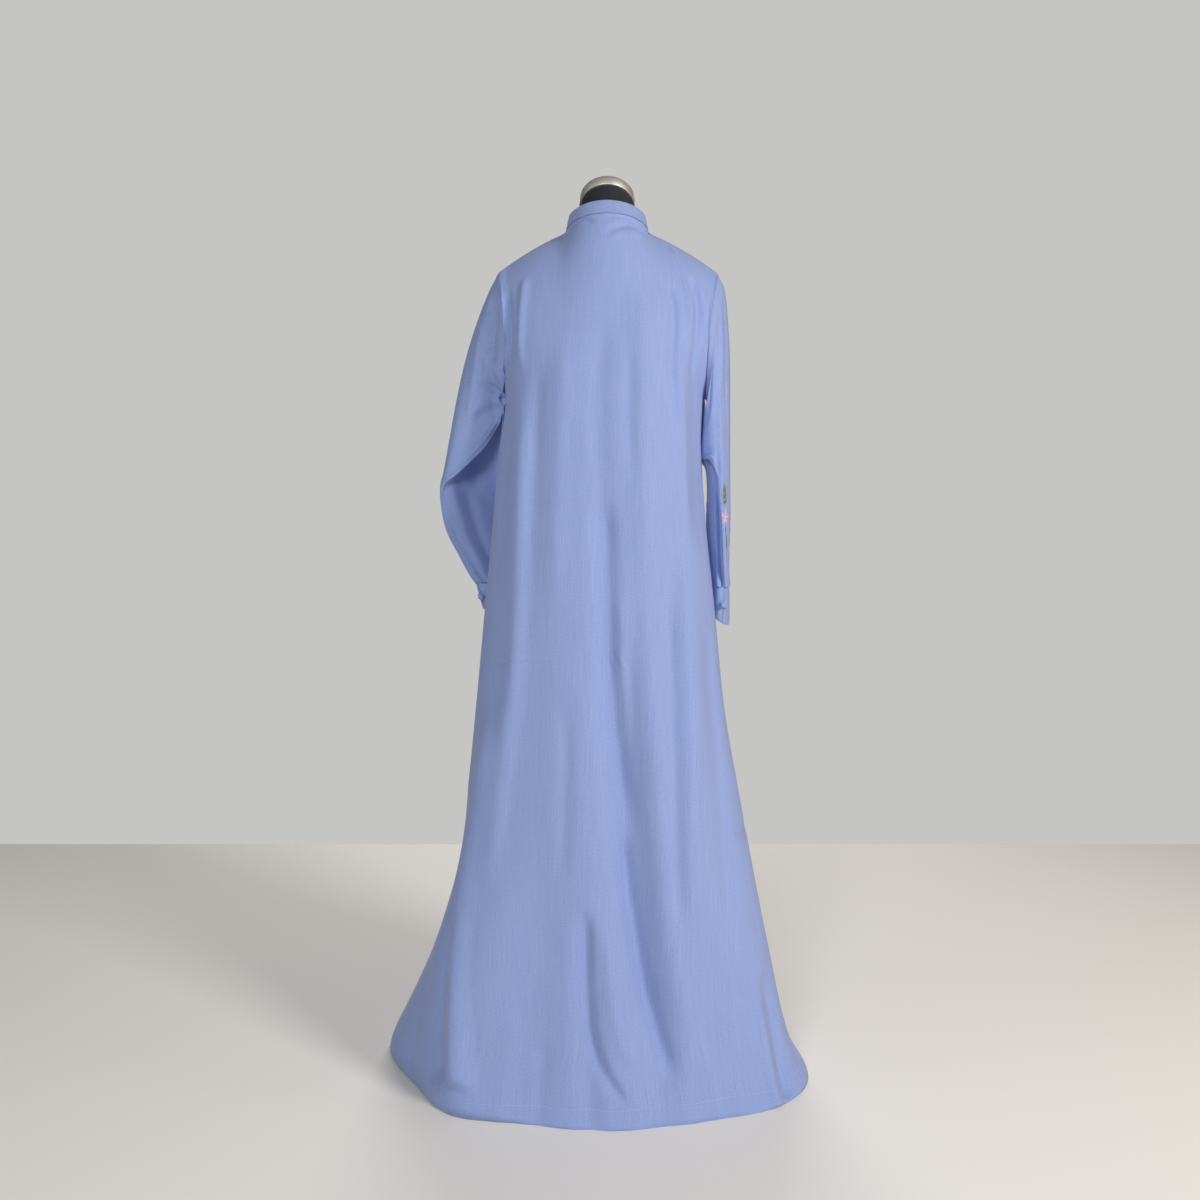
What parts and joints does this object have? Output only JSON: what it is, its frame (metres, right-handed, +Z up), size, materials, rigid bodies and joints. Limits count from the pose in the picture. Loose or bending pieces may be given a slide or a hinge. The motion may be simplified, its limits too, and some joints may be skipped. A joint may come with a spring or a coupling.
{
  "type": "maxi dress on a dress form",
  "caption": "Long-sleeved A-line maxi dress with a stand collar and button cuffs, worn by a limbless dress form on a round base.",
  "frame": {"origin": "centre of the round base's underside, on the floor", "axes": "+Z up, -Y the way the dress faces, +X the wearer's left"},
  "size_m": [0.7095, 0.4259, 1.4749],
  "materials": {
    "dress_cloth": "light blue chambray twill, matte, fine diagonal lines and vertical slubs",
    "dress_trim": "the same cloth, cut on the bias for covered buttons and cord loops",
    "form_cloth": "black knitted jersey, matte",
    "form_metal": "brushed warm nickel",
    "base_metal": "satin black powder coat"
  },
  "bodies": {
    "root": {"back_panel": "dress_cloth", "front_panel": "dress_cloth", "sleeve_left": "dress_cloth", "sleeve_right": "dress_cloth", "collar": "dress_cloth", "cuff_left": "dress_cloth", "cuff_right": "dress_cloth", "cuff_button_left": "dress_trim", "cuff_loop_left": "dress_trim", "cuff_button_right": "dress_trim", "cuff_loop_right": "dress_trim", "collar_button": "dress_trim", "collar_loop": "dress_trim", "form_bust": "form_cloth", "form_neck_cap": "form_metal", "form_pole": "form_metal", "form_base": "base_metal"}
  },
  "joints": []
}
